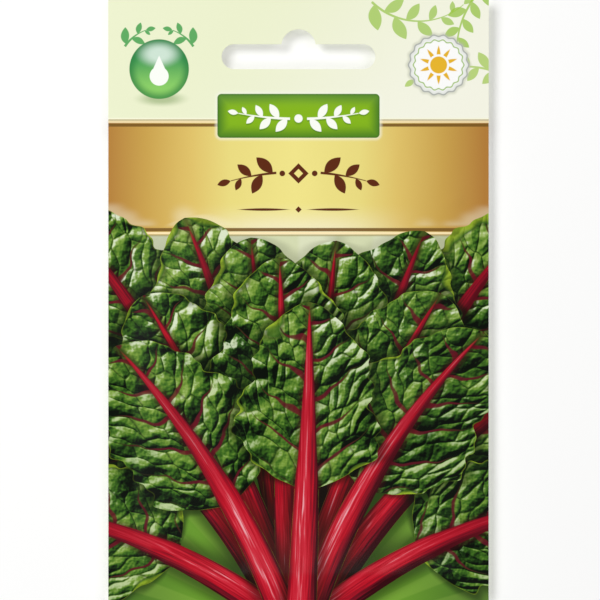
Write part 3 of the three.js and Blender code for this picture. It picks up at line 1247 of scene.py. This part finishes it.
def ornament(n, x, y, colour):
    """A printer's garland round a diamond, with a thin swelled rule below it."""
    away = n.absolute(x)
    upper = n.absolute(n.minus(y, ORNAMENT_Y))
    diamond = n.within(n.minus(2.7, n.plus(away, upper)))
    window = n.rise(n.minus(1.2, n.plus(away, upper)), -0.1, 0.1, 1.0, 0.0)
    beads = n.disc(n.minus(away, 4.3), upper, 0.75)
    leaves = garland(n, x, y, ORNAMENT_Y + 0.4, 2.4, 5.8, 18.0, 6.0)
    mark = n.highest(n.times(diamond, window), beads, leaves)
    lower = n.absolute(n.minus(y, RULE_Y))
    share = n.over(n.minus(away, 9.2), 6.8)
    bulge = n.times(n.minus(1.0, n.times(share, share)), 0.34)
    rule = n.higher(n.minus(bulge, lower), n.minus(0.85, n.plus(away, lower)))
    return n.mix(n.higher(mark, n.within(rule)), colour, settings().print.brown)


def drop(n, x, y, size):
    """A water drop, as a mask: a ball below, with sides that run up to a point."""
    ball = n.disc(x, n.plus(y, 0.3 * size), 0.6 * size, 0.02 * size)
    taper = n.times(n.minus(size, y), 0.45)
    cone = n.within(n.minus(taper, n.absolute(x)))
    return n.higher(ball, n.times(cone, n.stripe(y, 0.42 * size, 0.58 * size)))


def glass_button(n, place, colour, centre, radius):
    """A glossy green disc with a white drop and a soft shade under it."""
    offset = n.offset(place, centre)
    x, y = n.split(offset)
    foot = n.vector("MULTIPLY", n.vector("ADD", offset, (-0.6, radius, 0)), (1, 3.4, 0))
    colour = n.mix(n.rise(n.length(foot), 2.0, radius * 1.05, 0.6, 0.0), colour, ink("#7FA05A"))
    out = n.length(n.join(x, y))
    field = n.mix(n.rise(y, -0.85 * radius, 0.6 * radius), ink("#8ED268"), ink("#3A9656"))
    field = n.mix(n.rise(out, 0.66 * radius, radius, 0.0, 0.8), field, ink("#2A8042"))
    gleam = n.length(n.vector("MULTIPLY", n.vector("SUBTRACT", offset, (0, 0.5 * radius, 0)), (0.9, 1.5, 0)))
    field = n.mix(n.rise(gleam, 0.2 * radius, 0.78 * radius, 0.85, 0.0), field, ink("#DDEFE2"))
    field = n.mix(drop(n, x, n.plus(y, 0.6), 4.2), field, ink("#FAFDF6"))
    return n.mix(n.rise(out, radius - 0.1, radius + 0.1, 1.0, 0.0), colour, field)


def sun(n, x, y, radius, rays=10):
    """A small sun with pointed rays, as a mask."""
    out = n.length(n.join(x, y))
    turns = n.times(n.angle(y, x), rays / (2 * math.pi))
    off = n.absolute(n.minus(n.fraction(turns), 0.5))
    outwards = n.over(n.minus(out, radius * 0.55), radius * 0.45)
    ray = n.minus(n.times(n.minus(1.0, outwards), 0.3), off)
    ray = n.times(n.rise(ray, -0.05, 0.05), n.above(outwards, 0.0))
    return n.higher(ray, n.rise(out, radius * 0.42, radius * 0.46, 1.0, 0.0))


def medallion(n, place, colour, centre, radius):
    """A white disc with a scalloped grey rim and a small sun."""
    x, y = n.split(n.offset(place, centre))
    out = n.length(n.join(x, y))
    scallop = n.cosine(n.times(n.angle(y, x), 18.0))
    edge = n.minus(n.line(scallop, 0.22, radius), out)
    colour = n.mix(n.rise(edge, -1.0, 0.0, 0.0, 0.5), colour, ink("#B8BCA6"))
    field = n.mix(n.rise(edge, 0.0, 2.2), ink("#E2E5DF"), ink("#FDFDFB"))
    field = n.mix(n.times(n.stripe(edge, 0.2, 0.2), 0.7), field, ink("#8F938C"))
    field = n.mix(n.times(n.stripe(edge, 1.5, 0.17), 0.8), field, ink("#86B41C"))
    field = n.mix(sun(n, x, y, radius * 0.64), field, ink("#E8B62C"))
    return n.mix(n.rise(edge, -0.12, 0.12), colour, field)


def rays_ground(n, x, y):
    """The ground behind the bunch: pale under the band, green below, with faint rays from its foot."""
    inks = settings().print
    angle = n.angle(x, n.minus(y, BUNCH_Y))
    ray = n.rise(n.sine(n.times(angle, 34.0)), -0.25, 0.25)
    away = n.over(n.absolute(x), SIDE)
    green = n.mix(n.rise(away, 0.25, 1.15), inks.ground, inks.ground_dark)
    green = n.mix(n.times(ray, 0.14), green, ink("#A9CC5A"))
    pale = n.mix(n.times(ray, 0.35), ink("#D5DBB2"), ink("#EAECD4"))
    return n.mix(n.rise(y, -46.0, 12.0), green, pale)


def header_ground(n, x, y):
    """The header's ground, paler towards its far side."""
    inks = settings().print
    slant = n.line(n.minus(62.0, y), 0.8, x)
    return n.mix(n.rise(slant, -30.0, 52.0), inks.header, inks.header_far)


def front_print(n):
    """The colour of the front."""
    place = n.millimetres()
    x, y = n.split(place)
    # The picture is lit from its top
    daylight = n.rise(y, -38.0, 26.0, -0.12, 0.2)
    bunch, bunch_mask, openness = printed_leaves(n, place, fan(), daylight)
    colour = header_ground(n, x, y)
    colour = n.mix(n.rise(y, BAND_BOTTOM - 0.1, BAND_BOTTOM, 1.0, 0.0), colour, rays_ground(n, x, y))
    twigs = (
        # centre, radius, start, sweep, leaf, strength, ink
        (BUTTON_PLACE, 10.9, 2.56, -0.66, 4.3, 0.95, "#4FA658"),
        (BUTTON_PLACE, 10.9, 0.58, 0.66, 4.3, 0.95, "#4FA658"),
        ((32, 92), 18.0, -2.35, 1.5, 6.6, 0.8, "#9CC63C"),
        ((66, 66), 24.0, 2.2, 1.5, 5.4, 0.85, "#9CC63C"),
        ((44, 36), 26.0, 1.1, 1.0, 5.2, 0.8, "#A6CB46"),
        ((76, -4), 32.0, 2.35, 1.3, 8.0, 0.8, "#A9C653"),
        ((-76, -4), 32.0, 0.8, -1.3, 8.0, 0.8, "#A9C653"),
    )
    for centre, radius, start, sweep, leaf, strength, code in twigs:
        mark = sprig(n, place, centre, radius, start, sweep, leaf)
        colour = n.mix(n.times(mark, strength), colour, ink(code))
    shade = n.times(n.rise(openness, 0.0, 1.0, 0.9, 0.0), n.rise(y, -30, 12, 1.0, 0.35))
    colour = n.mix(shade, colour, ink("#14240C"))

    colour = gold_band(n, x, y, colour, BAND_TOP, BAND_BOTTOM)
    halo = n.times(n.rise(openness, 0.1, 1.0, 0.4, 0.0), n.rise(y, BAND_BOTTOM + 1.8, BAND_BOTTOM + 3))
    colour = n.mix(halo, colour, ink("#F4EFCF"))
    colour = ornament(n, x, y, colour)
    colour = n.mix(bunch_mask, colour, bunch)
    colour = n.group(shared("Green label", label_group), place=place, centre=(0, LABEL_Y, 0), under=colour)
    colour = glass_button(n, place, colour, BUTTON_PLACE, BUTTON_RADIUS)
    return medallion(n, place, colour, MEDALLION_PLACE, MEDALLION_RADIUS)


def calendar(n, x, y, colour, centre):
    """A bare sowing calendar: twelve columns, a tinted head, and a bar each for sowing and harvest."""
    inks = settings().print
    column, row = 7.2, 6.2
    half = (6 * column, 1.5 * row)
    dx = n.minus(x, centre[0])
    dy = n.minus(y, centre[1])
    within = n.times(n.stripe(dx, 0.0, half[0]), n.stripe(dy, 0.0, half[1]))
    field = n.mix(n.stripe(dy, row, row / 2, 0.02), ink("#FDFDF6"), ink("#D3E3A6"))
    bars = ((0.0, -0.5, 2.5, inks.label), (-row, 2.0, 4.5, inks.stalk))
    for level, first, last, tint in bars:
        size = ((last - first) * column, row * 0.46)
        middle = (column * (first + last) / 2, level)
        bar = rounded_panel(n, n.join(dx, dy), middle, size, size[1] / 2 - 0.02)
        field = n.mix(n.within(bar), field, tint)
    steps = n.fraction(n.line(dx, 1 / column, 0.5))
    upright = n.stripe(steps, 0.5, 0.012, 0.012)
    level_steps = n.fraction(n.times(dy, 1 / row))
    across = n.stripe(level_steps, 0.5, 0.014, 0.014)
    field = n.mix(n.times(n.higher(upright, across), 0.8), field, ink("#9DB56B"))
    return n.mix(within, colour, field)


def sowing_depth(n, x, y):
    """A seed below the ground line, with its depth marked at both sides, as a mask."""
    line = n.times(n.stripe(y, 2.4, 0.3), n.stripe(x, 0.0, 4.6))
    seed = n.disc(x, n.plus(y, 2.2), 1.3)
    mark = n.times(n.stripe(n.absolute(x), 3.2, 0.22), n.stripe(y, -0.4, 2.2))
    return n.highest(line, seed, mark)


def plant_spacing(n, x, y):
    """Two plants and the distance between them, as a mask."""
    away = n.absolute(x)
    stem = n.times(n.stripe(away, 2.8, 0.25), n.stripe(y, 0.6, 2.6))
    beside = n.minus(n.absolute(n.minus(away, 2.8)), 0.9)
    blades = n.disc(beside, n.times(n.minus(y, 2.2), 0.55), 0.8)
    rule = n.times(n.stripe(y, -3.4, 0.24), n.stripe(x, 0.0, 2.9))
    return n.highest(stem, blades, rule)


def picture_signs(n, x, y, colour, level):
    """Four round signs: sun, water, sowing depth and spacing."""
    dy = n.minus(y, level)
    signs = (
        (-33.0, lambda dx: sun(n, dx, dy, 5.2)),
        (-11.0, lambda dx: drop(n, dx, dy, 4.4)),
        (11.0, lambda dx: sowing_depth(n, dx, dy)),
        (33.0, lambda dx: plant_spacing(n, dx, dy)),
    )
    for middle, sign in signs:
        dx = n.minus(x, middle)
        colour = n.mix(n.disc(dx, dy, 7.0), colour, ink("#5E9A2A"))
        colour = n.mix(sign(dx), colour, ink("#FCFDF6"))
    return colour


def back_print(n):
    """The colour of the back: bare label, picture, lines for notes, calendar, signs and a bare panel."""
    inks = settings().print
    # Seen from behind, the packet's left is its +x side
    place = n.vector("MULTIPLY", n.millimetres(), (-1, 1, 0))
    x, y = n.split(place)
    sample = (
        # heading, foot, stalk, blade length, half width, bend, depth, number, half stalk
        leaf_of(-0.42, PICTURE_FOOT, 12.0, 27.0, 9.5, -3.0, 0.06, 2.4, 2.4),
        leaf_of(0.4, PICTURE_FOOT, 12.0, 28.0, 9.5, 3.0, 0.06, 5.1, 2.4),
        leaf_of(0.03, PICTURE_FOOT, 14.0, 31.0, 10.5, 1.0, 0.0, 7.7, 2.6),
    )
    bunch, bunch_mask, openness = printed_leaves(n, place, sample)
    colour = n.mix(n.rise(y, -80.0, 40.0), ink("#E3ECC6"), ink("#F6F7EA"))
    colour = n.mix(n.rise(y, BAND_TOP - 1, BAND_TOP), colour, header_ground(n, x, y))
    colour = gold_band(n, x, y, colour, BAND_TOP, BAND_TOP - 3.4)
    colour = n.group(shared("Green label", label_group), place=place, centre=(0, 37.0, 0), under=colour)

    # The picture, in a white frame
    outer_size = (PICTURE_SIZE[0] + 1.6, PICTURE_SIZE[1] + 1.6)
    outer = rounded_panel(n, place, PICTURE_PLACE, outer_size, 2.4)
    colour = n.mix(n.within(outer), colour, ink("#FDFDF8"))
    inner = rounded_panel(n, place, PICTURE_PLACE, PICTURE_SIZE, 1.8)
    foot = PICTURE_PLACE[1] - PICTURE_SIZE[1] / 2
    field = n.mix(n.rise(y, foot, foot + PICTURE_SIZE[1]), inks.ground, ink("#DCE5B4"))
    field = n.mix(n.rise(openness, 0.0, 1.0, 0.8, 0.0), field, ink("#14240C"))
    field = n.mix(bunch_mask, field, bunch)
    colour = n.mix(n.within(inner), colour, field)

    # Lines for the gardener's notes
    lines = n.fraction(n.times(n.minus(y, -2.5), 1 / 5.0))
    lines = n.times(n.stripe(lines, 0.5, 0.03, 0.02), n.stripe(y, 12.5, 15.0))
    lines = n.times(lines, n.stripe(x, 19.0, 24.5))
    colour = n.mix(n.times(lines, 0.8), colour, ink("#8FA85C"))

    colour = calendar(n, x, y, colour, (0, -19.0))
    colour = picture_signs(n, x, y, colour, -40.0)

    panel = rounded_panel(n, place, (24.0, -62.0), (38.0, 20.0), 1.2)
    colour = n.mix(n.within(panel), colour, ink("#FDFDFB"))
    colour = n.mix(n.times(n.stripe(panel, 0.12, 0.14), 0.8), colour, ink("#A9B38E"))
    twig = sprig(n, place, (-24, -96), 34.0, 2.25, -1.35, 8.0)
    return n.mix(n.times(twig, 0.8), colour, ink("#A9C653"))


def new_material(name):
    """A material, what fills its nodes, and its surface shader."""
    material = bpy.data.materials.new(name)
    material.use_nodes = True
    nodes = Nodes(material.node_tree)
    return material, nodes, material.node_tree.nodes["Principled BSDF"]


def paper_surface(n, surface, place, strength):
    """Bump and roughness of coated paper."""
    height = n.group(shared("Paper grain", paper_grain_group), place=place, strength=strength)
    n.feed(surface.inputs["Normal"], n.bump(height, *GRAIN_BUMP))
    sheen = n.noise(place, 0.05, 2.0)
    roughness = settings().paper.roughness
    n.feed(surface.inputs["Roughness"], n.rise(sheen, 0.3, 0.7, roughness - 0.05, roughness + 0.06))


def printed_paper(name, print_colour):
    """Coated paper with a print on it."""
    material, n, surface = new_material(name)
    n.feed(surface.inputs["Base Color"], print_colour(n))
    paper_surface(n, surface, n.millimetres(), 1.0)
    surface.inputs["Specular IOR Level"].default_value = PRINT_SPECULAR
    return material


def plain_paper(name, code, strength):
    """Bare paper of one colour, with its fibres showing."""
    material, n, surface = new_material(name)
    place = n.millimetres()
    fibre = n.noise(place, 1.1, 4.0, 0.65)
    shaded = tuple(0.86 * part for part in code)
    n.feed(surface.inputs["Base Color"], n.mix(n.rise(fibre, 0.3, 0.7, 0.0, 0.35), code, shaded))
    paper_surface(n, surface, place, strength)
    return material


def clear_film():
    """The milky heat-seal film."""
    material, n, surface = new_material("Seal film")
    place = n.millimetres()
    haze = n.noise(place, 0.6, 3.0)
    n.feed(surface.inputs["Base Color"], n.mix(n.rise(haze, 0.35, 0.65), ink("#EDECE4"), ink("#F7F6F0")))
    n.feed(surface.inputs["Roughness"], n.rise(haze, 0.3, 0.7, 0.28, 0.4))
    return material


def corky_husk():
    """Dry corky husk: brown with pale ridges and dark pits."""
    material, n, surface = new_material("Corky husk")
    seeds = settings().seeds
    place = n.millimetres()
    patches = n.noise(place, 0.35, 2.0)
    ridges = n.noise(place, 1.7, 4.0, 0.65)
    pits = n.cells(place, 1.5, feature="F1", dimensions="3D")
    colour = n.mix(n.rise(patches, 0.35, 0.65), seeds.husk, tuple(0.72 * c for c in seeds.husk))
    colour = n.mix(n.rise(ridges, 0.52, 0.72, 0.0, 0.6), colour, ink("#C4A677"))
    colour = n.mix(n.rise(pits, 0.12, 0.3, 0.8, 0.0), colour, seeds.husk_dark)
    n.feed(surface.inputs["Base Color"], colour)
    surface.inputs["Roughness"].default_value = 0.9
    height = n.line(n.rise(pits, 0.05, 0.4), 0.6, ridges)
    n.feed(surface.inputs["Normal"], n.bump(height, *HUSK_BUMP))
    return material


# ---------------------------------------------------------------- operators


def stand_for(piece, node):
    """Lets the piece stand for a node of the frame: hides the node and hangs the piece under the root body."""
    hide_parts(node)
    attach(piece, "root")


class PACKET_OT_front_sheet(bpy.types.Operator):
    """Make the printed front sheet"""

    bl_idname = "packet.front_sheet"
    bl_label = "Front Sheet"

    def execute(self, context):
        face = printed_paper("Printed front", front_print)
        sheet = paper_sheet("front_sheet_printed", front_relief(), 1, face)
        stand_for(sheet, "front_sheet")
        return {"FINISHED"}


class PACKET_OT_back_sheet(bpy.types.Operator):
    """Make the printed back sheet"""

    bl_idname = "packet.back_sheet"
    bl_label = "Back Sheet"

    def execute(self, context):
        face = printed_paper("Printed back", back_print)
        sheet = paper_sheet("back_sheet_printed", back_relief(), -1, face)
        stand_for(sheet, "back_sheet")
        return {"FINISHED"}


class PACKET_OT_seal_film(bpy.types.Operator):
    """Make the film that seals the margins and the header"""

    bl_idname = "packet.seal_film"
    bl_label = "Seal Film"

    def execute(self, context):
        bottom, top = (corner.z / MM for corner in FILM_BOX)
        film = raised_layer(
            "seal_film_ring",
            outer_face=lambda x, y: top + header_curl(x, y),
            outwards=1,
            cell=FILM_CELL,
            thickness=top - bottom,
            left_out=lambda x, y: abs(x) < FILL_SIDE and FILL_BOTTOM < y < FILL_TOP,
        )
        film.data.materials.append(clear_film())
        stand_for(film, "seal_film")
        return {"FINISHED"}


class PACKET_OT_seeds(bpy.types.Operator):
    """Make the loose seed clusters"""

    bl_idname = "packet.seeds"
    bl_label = "Seed Clusters"

    def execute(self, context):
        pattern = husk_pattern()
        clusters = [seed_cluster(pattern, index, *place) for index, place in enumerate(seed_places())]
        bpy.data.objects.remove(pattern)
        clear_selection()
        for cluster in clusters:
            cluster.select_set(True)
        context.view_layer.objects.active = clusters[0]
        bpy.ops.object.join()
        seeds = context.object
        seeds.name = "seed_clusters_loose"
        seeds.data.materials.append(corky_husk())
        bpy.ops.object.shade_smooth_by_angle(angle=HUSK_CREASE)
        stand_for(seeds, "seed_clusters")
        return {"FINISHED"}


class PACKET_OT_stage(bpy.types.Operator):
    """Make the floor, the lights and the camera"""

    bl_idname = "packet.stage"
    bl_label = "Stage"

    def execute(self, context):
        stage = settings().stage
        clear_selection()
        bpy.ops.mesh.primitive_plane_add(size=FLOOR_SIZE, location=(0, 0, 0))
        floor = context.object
        floor.name = "floor"
        material, _, surface = new_material("Floor")
        surface.inputs["Base Color"].default_value = (*stage.floor, 1.0)
        surface.inputs["Roughness"].default_value = FLOOR_ROUGHNESS
        surface.inputs["Emission Color"].default_value = (1, 1, 1, 1)
        surface.inputs["Emission Strength"].default_value = stage.glow
        floor.data.materials.append(material)
        floor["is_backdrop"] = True

        for name, bearing in LAMPS.items():
            turn = math.radians(bearing)
            spot = Vector((LAMP_AWAY * math.sin(turn), LAMP_AWAY * math.cos(turn), LAMP_HEIGHT))
            bpy.ops.object.light_add(type="AREA", location=spot)
            lamp = context.object
            lamp.name = name + "_lamp"
            lamp.rotation_euler = (-spot).to_track_quat("-Z", "Y").to_euler()
            lamp.data.shape = "DISK"
            lamp.data.size = LAMP_SIZE
            lamp.data.energy = stage.lamp * (stage.key if name == "key" else 1.0)

        world = bpy.data.worlds.new("Studio")
        context.scene.world = world
        world.use_nodes = True
        sky = world.node_tree.nodes["Background"]
        sky.inputs["Color"].default_value = (1, 1, 1, 1)
        sky.inputs["Strength"].default_value = SKY

        # The camera looks straight down, and the packet's height fills its view
        view = 2 * TOP * MM * VIEW_SHARE
        distance = view * stage.lens / SENSOR
        spot = (VIEW_ASIDE * view, 0, distance + FRONT_MARGIN * MM)
        bpy.ops.object.camera_add(location=spot, rotation=(0, 0, 0))
        camera = context.object
        camera.data.lens = stage.lens
        camera.data.sensor_width = SENSOR
        context.scene.camera = camera
        context.scene.view_settings.view_transform = "Standard"
        return {"FINISHED"}


class PACKET_PT_panel(bpy.types.Panel):
    """The packet's steps, in order"""

    bl_label = "Seed Packet"
    bl_space_type = "VIEW_3D"
    bl_region_type = "UI"
    bl_category = "Seed Packet"

    def draw(self, context):
        for step in STEPS:
            self.layout.operator(step.bl_idname)


STEPS = (
    PACKET_OT_front_sheet,
    PACKET_OT_back_sheet,
    PACKET_OT_seal_film,
    PACKET_OT_seeds,
    PACKET_OT_stage,
)
GROUPS = (PacketPaper, PacketPrint, PacketSeeds, PacketStage, PacketSettings)
CLASSES = (*GROUPS, *STEPS, PACKET_PT_panel)


def register():
    for item in CLASSES:
        bpy.utils.register_class(item)
    bpy.types.Scene.seed_packet = bpy.props.PointerProperty(type=PacketSettings)


def unregister():
    del bpy.types.Scene.seed_packet
    for item in reversed(CLASSES):
        bpy.utils.unregister_class(item)


def main():
    register()
    for step in STEPS:
        category, name = step.bl_idname.split(".")
        getattr(getattr(bpy.ops, category), name)()
    boxes = {"cad": CAD_BOX, "visual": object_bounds()}
    sizes = {name: [list(corner) for corner in box] for name, box in boxes.items()}


if __name__ == "__main__":
    main()
